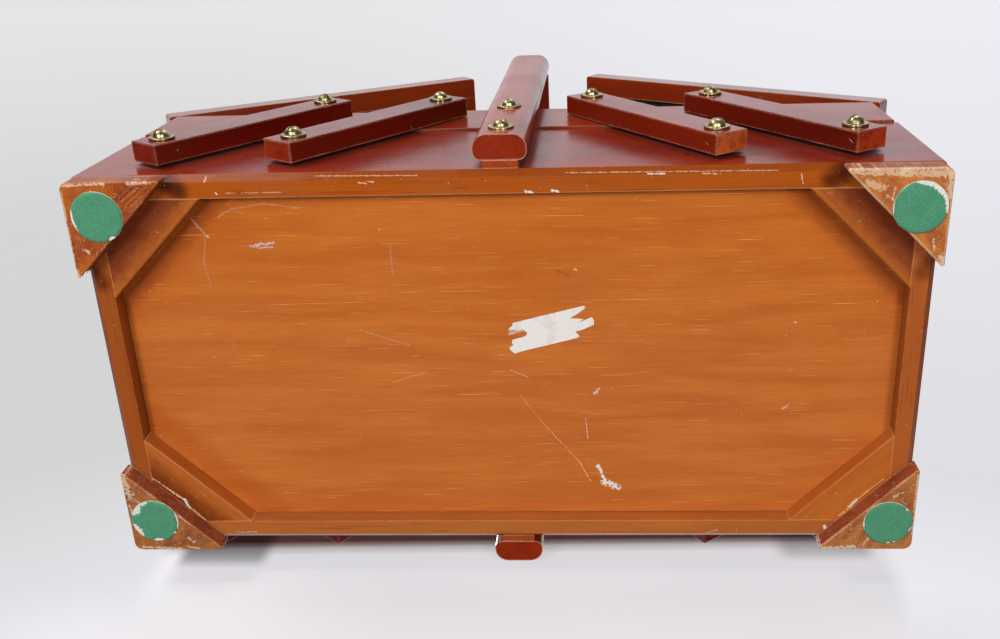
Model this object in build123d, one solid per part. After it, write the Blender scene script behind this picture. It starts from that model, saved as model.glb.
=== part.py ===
from build123d import *
from math import cos, radians, sin
import os

os.makedirs("parts", exist_ok=True)

# Cantilever sewing carrier, millimetres.  X runs along the long side, Y front (-) to back (+),
# Z up.  The origin is on the floor under the middle of the box.

# Base box
base_length = 400.0
base_depth = 198.0
base_height = 82.0
base_wall = 11.0
base_bevel = 3.0
panel_thick = 4.0
base_panel_recess = 9.0

# Feet and felt pads under the corners
foot_leg = 47.5
foot_height = 9.5
foot_overhang = 0.3
foot_corner_round = 4.0
foot_tip_round = 1.0
pad_radius = 12.2
pad_thick = 1.0
gusset_leg = 49.0

# Where the pads were glued by hand, keyed by side (left -, right +) and front (-) or back (+)
pad_centres = {
    (-1, -1): (-185.2, -82.9),
    (1, -1): (186.8, -81.4),
    (-1, 1): (-186.8, 81.2),
    (1, 1): (187.2, 83.2),
}

# Trays and lids, one pair on each side of the handle
tray_inner_end = 6.0
tray_outer_end = 197.6
tray_height = 45.5
tray_wall = 10.0
tray_proud = 1.3
tray_rest_gap = 0.5
divider_thick = 6.0
divider_height = 32.0
lid_thick = 12.5
lid_panel_thick = 5.0
lid_rim_width = 12.0
lid_lining_thick = 1.0
lid_gap = 0.5
lid_setback = 1.5
glue_line = 0.05
lid_rest_angle = 32.2

# Parallel link arms
arm_pitch = 101.5
arm_lean = 35.4
arm_width = 19.0
arm_thick = 10.0
arm_overrun = 10.6
arm_gap = 0.4
arm_edge_round = 0.5
collar_radius = 3.4
outer_pivot_x = 163.9
inner_pivot_x = 100.1
pivot_height = 36.3

# Handle
post_width = 25.0
post_thick = 12.1
post_outer_round = 6.8
post_inner_round = 4.0
post_top = 239.7
post_standoff = 3.9
spacer_width = 17.0
tenon_radius = 4.0
tenon_length = 8.0
handle_screw_heights = (27.0, 74.5)

# Brass fittings
shank_radius = 2.0
running_clearance = 0.06
large_head_radius = 4.0
small_head_radius = 3.6
head_proportion = 0.83
slot_width = 1.1
slot_depth = 1.8
washer_radius = 6.1
washer_thick = 1.0
washer_play = 0.3
hinge_spacing = 110.0
hinge_length = 30.0
hinge_leaf = 1.1
hinge_reach = 8.8
hinge_out = 0.8
lid_lip = 3.4
barrel_radius = 2.2
pin_radius = 1.1
knuckle_count = 5
knuckle_gap = 0.3

# Worked out from the dimensions above
half_length = base_length / 2
half_depth = base_depth / 2
base_bottom = pad_thick + foot_height
base_top = base_bottom + base_height
tray_bottom = base_top + tray_rest_gap
tray_top = tray_bottom + tray_height
tray_half_depth = half_depth + tray_proud
arm_inner_face = tray_half_depth + arm_gap
arm_outer_face = arm_inner_face + arm_thick
post_inner_face = half_depth + post_standoff
post_outer_face = post_inner_face + post_thick
post_bottom = base_bottom + base_bevel
hinge_x = tray_outer_end + hinge_out
hinge_z = tray_top + lid_gap / 2
lid_bottom = tray_top + lid_gap
lid_inner_end = tray_inner_end + lid_setback
lid_outer_end = hinge_x + lid_lip
upper_shift = arm_pitch * sin(radians(arm_lean))
upper_rise = arm_pitch * cos(radians(arm_lean))
upper_pivot_height = pivot_height + upper_rise
pivots_x = (outer_pivot_x, inner_pivot_x)

# Directions that the screw slots were left in, degrees from level, front then back
base_slot_turns = (55, 65, 30, 150, 20, 100, 75, 135)
tray_slot_turns = {"right": (90, 5, 60, 120), "left": (40, 0, 110, 30)}
handle_slot_turns = (100, 90, 35, 70)

written = []


def save(shape, name):
    export_step(shape, f"parts/{name}.step")
    written.append(name)


def block(x0, x1, y0, y1, z0, z1):
    size = (x1 - x0, y1 - y0, z1 - z0)
    middle = ((x0 + x1) / 2, (y0 + y1) / 2, (z0 + z1) / 2)
    return Pos(*middle) * Box(*size)


def group(solids):
    return Compound(children=list(solids))


def mirrored(shape):
    return mirror(shape, about=Plane.YZ)


def facing(sy, x, y, z):
    # A place on a front (sy = -1) or back (sy = 1) face, with local +Z pointing out of it
    return Pos(x, y, z) * Rot(-90 * sy, 0, 0)


# ---- Fasteners, drawn pointing along -Z with the seat of the head at the origin

def round_head_screw(length, turn, head_radius):
    head_height = head_radius * head_proportion
    with BuildPart() as screw:
        with BuildSketch(Plane.XZ):
            with BuildLine():
                Line((0, -length), (shank_radius, -length + 3))
                Line((shank_radius, -length + 3), (shank_radius, 0))
                Line((shank_radius, 0), (head_radius, 0))
                ThreePointArc((head_radius, 0), (head_radius * 0.74, head_height * 0.7), (0, head_height))
                Line((0, head_height), (0, -length))
            make_face()
        revolve(axis=Axis.Z)
    slot = Pos(0, 0, head_height) * Rot(0, 0, turn) * Box(3 * head_radius, slot_width, 2 * slot_depth)
    return screw.part - slot


def washer():
    disc = Cylinder(washer_radius, washer_thick) - Cylinder(shank_radius + 0.2, 2 * washer_thick)
    rim = disc.edges().filter_by(GeomType.CIRCLE).group_by(Axis.Z)[-1].sort_by(SortBy.RADIUS)[-1]
    return Pos(0, 0, washer_thick / 2) * fillet(rim, washer_thick * 0.4)


def flat_head_screw(length, grow=0.0):
    core = Pos(0, 0, -length / 2) * Cylinder(1.0 + grow, length)
    head = Pos(0, 0, -hinge_leaf / 2) * Cone(1.0 + grow, 2.2 + grow, hinge_leaf)
    return core + head


def slotted_flat_head(length):
    return flat_head_screw(length) - Box(6, 0.6, 0.8)


# ---- Base box

def base_long_wall(sy):
    # Board with a bevelled lower outside arris and an eased top
    outer = sy * half_depth
    inner = sy * (half_depth - base_wall)
    profile = [
        (inner, base_bottom),
        (outer - sy * base_bevel, base_bottom),
        (outer, base_bottom + base_bevel),
        (outer, base_top),
        (inner, base_top),
    ]
    face = Plane.YZ.offset(-half_length) * make_face(Polyline(*profile, close=True))
    wall = extrude(face, base_length, dir=(1, 0, 0))
    wall = fillet(wall.edges().filter_by(Axis.Z), 1.5)
    wall = fillet(wall.edges().filter_by(Axis.X).group_by(Axis.Z)[-1], 0.4)
    wall -= panel_groove()
    for x in (-outer_pivot_x, -inner_pivot_x, inner_pivot_x, outer_pivot_x):
        wall -= facing(sy, x, outer, pivot_height) * Cylinder(shank_radius + 0.02, 2 * 9.5)
    for z in handle_screw_heights:
        wall -= facing(sy, 0, outer, z) * Cylinder(shank_radius + 0.02, 2 * 9.5)
    return wall


def base_end_wall(sx):
    outer = sx * half_length
    inner = sx * (half_length - base_wall)
    profile = [
        (inner, base_bottom),
        (outer - sx * base_bevel, base_bottom),
        (outer, base_bottom + base_bevel),
        (outer, base_top),
        (inner, base_top),
    ]
    reach = half_depth - base_wall
    face = Plane.XZ.offset(-reach) * make_face(Polyline(*profile, close=True))
    wall = extrude(face, 2 * reach, dir=(0, -1, 0))
    wall = fillet(wall.edges().filter_by(Axis.Y).group_by(Axis.Z)[-1], 0.4)
    return wall - panel_groove()


def base_panel_block(grow):
    reach = 4.8 + grow
    x = half_length - base_wall + reach
    y = half_depth - base_wall + reach
    z = base_bottom + base_panel_recess
    return block(-x, x, -y, y, z - grow, z + panel_thick + grow)


def panel_groove():
    return base_panel_block(0.1)


def corner_gusset(sx, sy):
    # Triangular glue block in the inside corner, flush with the rim of the walls
    x = sx * (half_length - base_wall)
    y = sy * (half_depth - base_wall)
    outline = Polyline((x, y), (x - sx * gusset_leg, y), (x, y - sy * gusset_leg), close=True)
    piece = extrude(Pos(0, 0, base_bottom) * make_face(outline), base_panel_recess)
    low = piece.edges().group_by(Axis.Z)[0].sort_by(Edge.length)[-1]
    return chamfer(low, 0.6)


def corner_foot(sx, sy):
    # Right-angled triangle with rounded corners, flush with the outside of the box
    x = sx * (half_length + foot_overhang)
    y = sy * (half_depth + foot_overhang)
    outline = make_face(Polyline((x, y), (x - sx * foot_leg, y), (x, y - sy * foot_leg), close=True))
    square = outline.vertices().sort_by_distance((x, y, 0))[0]
    outline = fillet(square, foot_corner_round)
    tips = outline.vertices().sort_by_distance((x, y, 0))[-2:]
    outline = fillet(tips, foot_tip_round)
    foot = extrude(Pos(0, 0, pad_thick) * outline, foot_height)
    return chamfer(foot.edges().group_by(Axis.Z)[0], 0.5)


def foot_pad(sx, sy):
    return Pos(*pad_centres[sx, sy], pad_thick / 2) * Cylinder(pad_radius, pad_thick)


# ---- Handle

def handle_section():
    # Bar section: width along X, thickness along Y, well rounded on the outer (-Y) side
    bar = Rectangle(post_width, post_thick)
    bar = fillet(bar.vertices().group_by(Axis.Y)[0], post_outer_round)
    return fillet(bar.vertices().group_by(Axis.Y)[-1], post_inner_round)


def handle_post(sy):
    middle = (post_inner_face + post_outer_face) / 2
    post = extrude(Pos(0, -middle, post_bottom) * handle_section(), post_top - post_bottom)
    post = chamfer(post.edges().group_by(Axis.Z)[-1], 0.8)
    for z in handle_screw_heights:
        post -= Pos(0, -middle, z) * Rot(90, 0, 0) * Cylinder(shank_radius + 0.1, 2 * post_thick)
    socket = Pos(0, -post_inner_face, post_top - post_thick / 2) * Rot(90, 0, 0)
    post -= socket * Cylinder(tenon_radius + 0.05, 2 * (tenon_length + 0.3))
    return post if sy < 0 else mirror(post, about=Plane.XZ)


def crossbar():
    # Same section laid flat between the posts, with a round tenon into each
    height = post_top - post_thick / 2
    face = Pos(0, post_inner_face, height) * Rot(90, 0, 0) * Rot(0, 0, 180) * handle_section()
    bar = extrude(face, 2 * post_inner_face, dir=(0, -1, 0))
    tenon = Pos(0, 0, height) * Rot(90, 0, 0)
    return bar + tenon * Cylinder(tenon_radius, 2 * (post_inner_face + tenon_length))


def post_spacer(sy):
    ends = sorted((sy * half_depth, sy * post_inner_face))
    piece = block(-spacer_width / 2, spacer_width / 2, *ends, post_bottom, base_top - 1.5)
    piece = fillet(piece.edges().filter_by(Axis.Y), 1.0)
    for z in handle_screw_heights:
        piece -= Pos(0, sy * post_inner_face, z) * Rot(90, 0, 0) * Cylinder(shank_radius + 0.1, 30)
    return piece


# ---- Link arms

def link_arm(sx, sy, lower_x):
    # Straight bar with a bored hole at each end, leaning inward over the box when closed
    bar = Box(arm_width, arm_thick, arm_pitch + 2 * arm_overrun)
    bar = fillet(bar.edges(), arm_edge_round)
    for end in (-1, 1):
        bore = Cylinder(shank_radius + running_clearance, 2 * arm_thick)
        bar -= Pos(0, 0, end * arm_pitch / 2) * Rot(90, 0, 0) * bore
    middle_x = sx * (lower_x - upper_shift / 2)
    middle_y = sy * (arm_inner_face + arm_thick / 2)
    middle_z = pivot_height + upper_rise / 2
    return Pos(middle_x, middle_y, middle_z) * Rot(0, -sx * arm_lean, 0) * bar


def pivot_seat(sx, sy, x, z):
    return facing(sy, sx * x, sy * (arm_outer_face + washer_play), z)


def pivot_fixings(places, length, turns, head_radius):
    screws = []
    washers = []
    for place, turn in zip(places, turns):
        screws.append(place * Pos(0, 0, washer_thick) * round_head_screw(length, turn, head_radius))
        washers.append(place * washer())
    return screws, washers


def base_pivot_places():
    return [pivot_seat(sx, sy, x, pivot_height) for sy in (-1, 1) for sx in (-1, 1) for x in pivots_x]


def tray_pivot_places():
    return [pivot_seat(1, sy, x - upper_shift, upper_pivot_height) for sy in (-1, 1) for x in pivots_x]


def handle_screw_places():
    return [facing(sy, 0, sy * post_outer_face, z) for sy in (-1, 1) for z in handle_screw_heights]


def pivot_collars():
    # Brass collars that hold the arms off the base so that they clear the prouder trays
    thick = tray_proud + arm_gap - washer_play
    ring = Cylinder(collar_radius, thick) - Cylinder(shank_radius + 0.1, 2 * thick)
    collars = []
    for sy in (-1, 1):
        for x in (-outer_pivot_x, -inner_pivot_x, inner_pivot_x, outer_pivot_x):
            collars.append(facing(sy, x, sy * (half_depth + thick / 2), pivot_height) * ring)
    return group(collars)


# ---- Right tray and lid (the left ones are their mirror images)

def tray_panel_block(grow):
    reach = 4.3 + grow
    x0 = tray_inner_end + tray_wall - reach
    x1 = tray_outer_end - tray_wall + reach
    y = tray_half_depth - tray_wall + reach
    z = tray_bottom + 3
    return block(x0, x1, -y, y, z - grow, z + panel_thick + grow)


def divider_block(grow):
    x = (tray_inner_end + tray_outer_end) / 2
    y = tray_half_depth - tray_wall + 3 + grow
    z = tray_bottom + 3 + panel_thick
    half = divider_thick / 2 + grow
    return block(x - half, x + half, -y, y, z + 0.1, z + divider_height)


def tray_long_wall(sy):
    outer = sy * tray_half_depth
    ends = sorted((outer, outer - sy * tray_wall))
    wall = block(tray_inner_end, tray_outer_end, *ends, tray_bottom, tray_top)
    wall = fillet(wall.edges().filter_by(Axis.Z), 1.2)
    wall = fillet(wall.edges().filter_by(Axis.X), 0.4)
    wall -= tray_panel_block(0.1)
    wall -= divider_block(0.1) + Pos(0, 0, 10) * divider_block(0.1)
    for x in pivots_x:
        place = facing(sy, x - upper_shift, outer, upper_pivot_height)
        wall -= place * Cylinder(shank_radius + 0.02, 2 * 6.8)
    return wall


def tray_end_wall(x0):
    reach = tray_half_depth - tray_wall
    wall = block(x0, x0 + tray_wall, -reach, reach, tray_bottom, tray_top)
    wall = fillet(wall.edges().filter_by(Axis.Y), 0.4)
    return wall - tray_panel_block(0.1)


def hinge_centres():
    return (-hinge_spacing / 2, hinge_spacing / 2)


def along_axis(shape, y):
    return Pos(hinge_x, y, hinge_z) * Rot(90, 0, 0) * shape


def hinge_recess(y, side):
    # Bed for one leaf and the barrel, cut into the tray wall (side -1) or the lid (side 1)
    x0 = hinge_x - hinge_reach - 0.05
    z_leaf = sorted((hinge_z + side * lid_gap / 2, hinge_z + side * (lid_gap / 2 + hinge_leaf + 0.05)))
    half = hinge_length / 2 + 0.3
    leaf_bed = block(x0, hinge_x, y - half, y + half, *z_leaf)
    return leaf_bed + along_axis(Cylinder(barrel_radius + 0.4, 2 * half), y)


def hinge_screw_places(y, side):
    for dy in (-9, 9):
        flip = Rot(0, 0, 0) if side < 0 else Rot(180, 0, 0)
        yield Pos(hinge_x - hinge_reach * 0.64, y + dy, hinge_z + side * lid_gap / 2) * flip


def hinge_half(y, side):
    # Leaf with its own knuckles wrapped round the pin: odd ones on the tray, even ones on the lid
    z_leaf = sorted((hinge_z + side * lid_gap / 2, hinge_z + side * (lid_gap / 2 + hinge_leaf)))
    x0 = hinge_x - hinge_reach
    leaf = block(x0, hinge_x, y - hinge_length / 2, y + hinge_length / 2, *z_leaf)
    step = hinge_length / knuckle_count
    own = 0 if side < 0 else 1
    for index in range(knuckle_count):
        middle = y - hinge_length / 2 + (index + 0.5) * step
        if index % 2 == own:
            leaf += along_axis(Cylinder(barrel_radius, step - knuckle_gap), middle)
        else:
            leaf -= along_axis(Cylinder(barrel_radius + 0.3, step + knuckle_gap), middle)
    bore = pin_radius + (0.02 if side < 0 else running_clearance)
    leaf -= along_axis(Cylinder(bore, 2 * hinge_length), y)
    for place in hinge_screw_places(y, side):
        leaf -= place * flat_head_screw(4, 0.03)
    return leaf


def hinge_halves(side):
    return group(hinge_half(y, side) for y in hinge_centres())


def hinge_pins():
    return group(along_axis(Cylinder(pin_radius, hinge_length - 0.2), y) for y in hinge_centres())


def hinge_screws(side, length):
    places = [place for y in hinge_centres() for place in hinge_screw_places(y, side)]
    return group(place * slotted_flat_head(length) for place in places)


def tray_outer_wall():
    wall = tray_end_wall(tray_outer_end - tray_wall)
    for y in hinge_centres():
        wall -= hinge_recess(y, -1)
        for place in hinge_screw_places(y, -1):
            wall -= place * Cylinder(1.05, 2 * 9.2)
    return wall


def lid_panel():
    z = lid_bottom + lid_thick
    board = block(lid_inner_end, lid_outer_end, -tray_half_depth, tray_half_depth, z - lid_panel_thick, z)
    board = fillet(board.edges().filter_by(Axis.Z), 1.8)
    return fillet(board.faces().sort_by(Axis.Z)[-1].edges(), 1.2)


def lid_rim():
    # Four strips under the panel: two long ones with the end strips between them
    z0 = lid_bottom
    z1 = lid_bottom + lid_thick - lid_panel_thick - glue_line
    y = tray_half_depth
    w = lid_rim_width
    strips = []
    for sy in (-1, 1):
        ends = sorted((sy * y, sy * (y - w)))
        strip = block(lid_inner_end, lid_outer_end, *ends, z0, z1)
        outer = strip.edges().filter_by(Axis.Z).sort_by(lambda edge: sy * edge.center().Y)[-2:]
        strips.append(fillet(outer, 1.6))
    strips.append(block(lid_inner_end, lid_inner_end + w, w - y, y - w, z0, z1))
    outer_strip = block(lid_outer_end - w, lid_outer_end, w - y, y - w, z0, z1)
    for centre in hinge_centres():
        outer_strip -= hinge_recess(centre, 1)
        for place in hinge_screw_places(centre, 1):
            outer_strip -= place * Cylinder(1.05, 2 * 6.0)
    strips.append(outer_strip)
    return group(strips)


def lid_lining():
    z = lid_bottom + lid_thick - lid_panel_thick
    x0 = lid_inner_end + lid_rim_width + 0.3
    x1 = lid_outer_end - lid_rim_width - 0.3
    y = tray_half_depth - lid_rim_width - 0.3
    return block(x0, x1, -y, y, z - lid_lining_thick, z)


def ajar(shape):
    # Turns a lid piece from closed to its rest position about the hinge line
    axis = Axis((hinge_x, 0, hinge_z), (0, 1, 0))
    return group(solid.rotate(axis, lid_rest_angle) for solid in shape.solids())


# ---- Write every piece

fronts = {-1: "front", 1: "back"}
sides = {-1: "left", 1: "right"}

for sy, front in fronts.items():
    save(base_long_wall(sy), f"base_{front}_wall")
    save(handle_post(sy), f"{front}_handle_post")
for sx, side in sides.items():
    save(base_end_wall(sx), f"base_{side}_wall")
save(base_panel_block(0), "base_bottom_panel")
save(group(corner_gusset(sx, sy) for sx in sides for sy in fronts), "corner_gussets")
save(group(post_spacer(sy) for sy in fronts), "post_spacers")
save(crossbar(), "handle_crossbar")
save(pivot_collars(), "base_pivot_collars")
for sx, side in sides.items():
    for sy, front in fronts.items():
        save(corner_foot(sx, sy), f"{front}_{side}_foot")
        save(foot_pad(sx, sy), f"{front}_{side}_foot_pad")
        save(link_arm(sx, sy, outer_pivot_x), f"{side}_{front}_outer_arm")
        save(link_arm(sx, sy, inner_pivot_x), f"{side}_{front}_inner_arm")

wood_depth = arm_outer_face + washer_play + washer_thick - half_depth
pivot_screws, pivot_washers = pivot_fixings(
    base_pivot_places(), wood_depth + 9, base_slot_turns, large_head_radius
)
handle_screws, handle_washers = pivot_fixings(
    handle_screw_places(), post_standoff + post_thick + 10, handle_slot_turns, small_head_radius
)
save(group(pivot_screws), "base_pivot_screws")
save(group(handle_screws), "handle_screws")
save(group(pivot_washers + handle_washers), "base_washers")

wood_depth = arm_outer_face + washer_play + washer_thick - tray_half_depth
tray_fixings = {
    side: pivot_fixings(tray_pivot_places(), wood_depth + 6.5, turns, small_head_radius)
    for side, turns in tray_slot_turns.items()
}
tray_pieces = {
    "tray_front_wall": tray_long_wall(-1),
    "tray_back_wall": tray_long_wall(1),
    "tray_inner_wall": tray_end_wall(tray_inner_end),
    "tray_outer_wall": tray_outer_wall(),
    "tray_bottom_panel": tray_panel_block(0),
    "tray_divider": divider_block(0),
    "tray_washers": group(tray_fixings["right"][1]),
    "tray_hinges": group(hinge_halves(-1).solids() + hinge_pins().solids()),
    "tray_hinge_screws": hinge_screws(-1, 9.0),
    "lid_panel": ajar(lid_panel()),
    "lid_rim": ajar(lid_rim()),
    "lid_lining": ajar(lid_lining()),
    "lid_hinges": ajar(hinge_halves(1)),
    "lid_hinge_screws": ajar(hinge_screws(1, 5.8)),
}
for name, piece in tray_pieces.items():
    save(piece, f"right_{name}")
    save(mirrored(piece), f"left_{name}")
save(group(tray_fixings["right"][0]), "right_tray_pivot_screws")
save(mirrored(group(tray_fixings["left"][0])), "left_tray_pivot_screws")

print(len(written), "parts written")
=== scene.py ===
import math
import bpy
from mathutils import Matrix, Vector, noise


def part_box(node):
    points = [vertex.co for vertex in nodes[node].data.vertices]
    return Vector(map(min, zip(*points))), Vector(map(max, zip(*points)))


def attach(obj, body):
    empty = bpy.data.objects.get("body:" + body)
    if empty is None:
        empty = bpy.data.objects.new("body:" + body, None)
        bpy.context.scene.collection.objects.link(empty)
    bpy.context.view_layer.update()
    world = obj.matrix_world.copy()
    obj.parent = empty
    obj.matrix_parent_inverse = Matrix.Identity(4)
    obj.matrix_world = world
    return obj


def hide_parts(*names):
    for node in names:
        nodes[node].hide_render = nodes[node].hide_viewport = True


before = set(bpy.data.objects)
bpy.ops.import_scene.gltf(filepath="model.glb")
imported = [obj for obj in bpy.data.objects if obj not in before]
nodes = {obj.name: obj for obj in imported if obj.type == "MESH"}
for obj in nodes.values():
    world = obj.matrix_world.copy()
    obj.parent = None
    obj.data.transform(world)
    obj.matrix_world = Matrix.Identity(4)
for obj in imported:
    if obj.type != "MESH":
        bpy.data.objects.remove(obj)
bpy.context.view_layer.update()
mm = 0.001
print("frame loaded:", len(nodes), "wooden, brass and felt pieces")


# Small helpers

def paint(red, green, blue):
    # 0-255 screen colour to the linear colour that sockets take
    linear = []
    for part in (red, green, blue):
        share = part / 255
        linear.append(share / 12.92 if share <= 0.04045 else ((share + 0.055) / 1.055) ** 2.4)
    return (*linear, 1.0)


def shaded(colour, share):
    return tuple(share * part for part in colour[:3]) + (1.0,)


def feed(tree, sockets, values):
    # Links what another node puts out, and sets a constant on the socket itself
    for name, value in values.items():
        if isinstance(value, bpy.types.NodeSocket):
            tree.links.new(value, sockets[name])
        else:
            sockets[name].default_value = value


def addNode(tree, kind, inputs=None, **settings):
    node = tree.nodes.new(kind)
    for name, value in settings.items():
        setattr(node, name, value)
    feed(tree, node.inputs, inputs or {})
    return node


def maths(tree, operation, first, second=0.0, clamp=False):
    node = addNode(tree, "ShaderNodeMath", {0: first, 1: second}, operation=operation, use_clamp=clamp)
    return node.outputs[0]


def times(tree, first, second):
    return maths(tree, "MULTIPLY", first, second)


def plus(tree, first, second, clamp=False):
    return maths(tree, "ADD", first, second, clamp)


def minus(tree, first, second):
    return maths(tree, "SUBTRACT", first, second)


def larger(tree, first, second):
    return maths(tree, "MAXIMUM", first, second)


def vectorMaths(tree, operation, first, second=(0, 0, 0)):
    node = addNode(tree, "ShaderNodeVectorMath", {0: first, 1: second}, operation=operation)
    return node.outputs["Value" if operation in ("LENGTH", "DOT_PRODUCT", "DISTANCE") else "Vector"]


def stretched(tree, vector, factors):
    return vectorMaths(tree, "MULTIPLY", vector, factors)


def resized(tree, vector, size):
    return addNode(tree, "ShaderNodeVectorMath", {0: vector, "Scale": size}, operation="SCALE").outputs[0]


def split(tree, vector):
    return addNode(tree, "ShaderNodeSeparateXYZ", {0: vector}).outputs


def combined(tree, *parts):
    return addNode(tree, "ShaderNodeCombineXYZ", dict(enumerate(parts))).outputs[0]


def objectPlace(tree):
    return addNode(tree, "ShaderNodeTexCoord").outputs["Object"]


def remap(tree, value, low, high, toLow=0.0, toHigh=1.0, smooth=True):
    kind = "SMOOTHSTEP" if smooth else "LINEAR"
    inputs = {"Value": value, "From Min": low, "From Max": high, "To Min": toLow, "To Max": toHigh}
    return addNode(tree, "ShaderNodeMapRange", inputs, interpolation_type=kind).outputs[0]


def mixColour(tree, factor, first, second, mode="MIX"):
    node = addNode(tree, "ShaderNodeMix", {0: factor, 6: first, 7: second}, data_type="RGBA", blend_type=mode)
    return node.outputs[2]


def ramp(tree, value, stops):
    node = addNode(tree, "ShaderNodeValToRGB", {0: value})
    elements = node.color_ramp.elements
    while len(elements) < len(stops):
        elements.new(0.5)
    for element, (place, colour) in zip(elements, stops):
        element.position = place
        element.color = colour
    return node.outputs[0]


def cloud(tree, vector, scale, detail=2.0, rough=0.5, warp=0.0):
    inputs = {"Vector": vector, "Scale": scale, "Detail": detail, "Roughness": rough, "Distortion": warp}
    return addNode(tree, "ShaderNodeTexNoise", inputs).outputs[0]


def bumped(tree, strength, distance, height):
    inputs = {"Strength": strength, "Distance": distance, "Height": height}
    return addNode(tree, "ShaderNodeBump", inputs).outputs[0]


def startGroup(name, inputs, outputs):
    tree = bpy.data.node_groups.new(name, "ShaderNodeTree")
    for label, start in inputs.items():
        kind = "NodeSocketVector" if start is None else "NodeSocketFloat"
        socket = tree.interface.new_socket(label, in_out="INPUT", socket_type=kind)
        if start is not None:
            socket.default_value = start
    for label in outputs:
        tree.interface.new_socket(label, in_out="OUTPUT", socket_type="NodeSocketFloat")
    given = tree.nodes.new("NodeGroupInput").outputs
    result = tree.nodes.new("NodeGroupOutput").inputs
    return tree, given, result


def useGroup(tree, group, inputs):
    node = tree.nodes.new("ShaderNodeGroup")
    node.node_tree = group
    feed(tree, node.inputs, inputs)
    return node.outputs


# Camera, lamps and surroundings

camera = {
    "place": (0.046363, -0.219772, -0.446989),
    "turn": (0.1915583, 0.9811714, 0.0104923, 0.022314),
    "lens": 37.479,
    "sensor": 36,
    "shift": (-0.05382, -0.01723),
    "nearest": 0.01,
}
bpy.ops.object.camera_add(location=camera["place"])
cameraObject = bpy.context.object
cameraObject.rotation_mode = "QUATERNION"
cameraObject.rotation_quaternion = camera["turn"]
cameraObject.data.lens = camera["lens"]
cameraObject.data.sensor_width = camera["sensor"]
cameraObject.data.shift_x, cameraObject.data.shift_y = camera["shift"]
cameraObject.data.clip_start = camera["nearest"]
bpy.context.scene.camera = cameraObject

lampAim = Vector((0, 0, 0.06))
lamps = {
    "lowerLeftSoftbox": {"place": (-0.46, -0.57, -1.09), "size": 0.36, "watts": 8.6},
    "lowerRightSoftbox": {"place": (0.52, -0.56, -1.08), "size": 0.36, "watts": 6.4},
    "frontSoftbox": {"place": (-0.85, -1.18, 0.07), "size": 0.50, "watts": 11.5},
    "upperFrontSoftbox": {"place": (0.45, -1.50, 0.75), "size": 0.60, "watts": 5.0},
    "upperBackSoftbox": {"place": (-0.60, 0.75, 1.40), "size": 0.80, "watts": 18.0},
}
for lampName, look in lamps.items():
    bpy.ops.object.light_add(type="AREA", location=look["place"])
    lamp = bpy.context.object
    lamp.name = lampName
    lamp.data.size = look["size"]
    lamp.data.energy = look["watts"]
    lamp.rotation_euler = (lampAim - Vector(look["place"])).to_track_quat("-Z", "Y").to_euler()

surroundings = {
    # pale tones by how far the direction points from front to back, on the left and on the right
    "left": [(0.10, paint(229, 229, 230)), (0.26, paint(213, 213, 213)), (0.45, paint(212, 212, 213)),
             (0.57, paint(231, 230, 235))],
    "right": [(0.12, paint(237, 237, 243)), (0.42, paint(225, 224, 229)), (0.50, paint(223, 222, 227)),
              (0.60, paint(237, 237, 242))],
    "leftToRight": (-0.47, 0.25),
    "dusk": paint(70, 64, 64),
    "duskBelow": (0.42, 0.0),
    "duskBeside": (0.62, 0.92),
    "ambient": (1.0, 0.985, 0.98, 1.0),
    "ambientStrength": 0.25,
    "floor": paint(232, 229, 232),
    "floorSize": (6, 6),
    "floorFade": (0.50, 0.95),      # how far from the middle the floor starts and ends to fade out
}
tableLook = {
    "size": (1.0, 0.165),
    "place": (0, 0.1206, -0.0375),
    "colour": paint(154, 154, 156),
    "glow": paint(196, 194, 199),
    # where the strip fades: at its sides, at its low edge, past the ends of the box, and in front of it
    "sides": (0.205, 0.29),
    "near": (-0.115, -0.05),
    "besideBox": (0.190, 0.205),
    "front": (0.002, -0.045),
    # painted contact shadow: share of the table's colour from its front edge to deep under the box
    "depth": (-0.012, 0.041),
    "skew": 0.017,
    "contact": [(0.0, (0.89, 0.89, 0.89, 1)), (0.50, (0.97, 0.97, 0.97, 1)), (0.75, (0.97, 0.97, 0.97, 1)),
                (0.875, (0.645, 0.613, 0.60, 1)), (0.925, (0.343, 0.28, 0.264, 1)),
                (1.0, (0.105, 0.045, 0.035, 1))],
    # painted soft shadows beside the back feet: fade in and out from left to right, fade in with depth,
    # strength
    "patches": [((-0.192, -0.184), (-0.146, -0.136), (0.012, 0.026), 0.57),
                ((0.134, 0.147), (0.184, 0.193), (0.018, 0.031), 0.38)],
}


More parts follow.
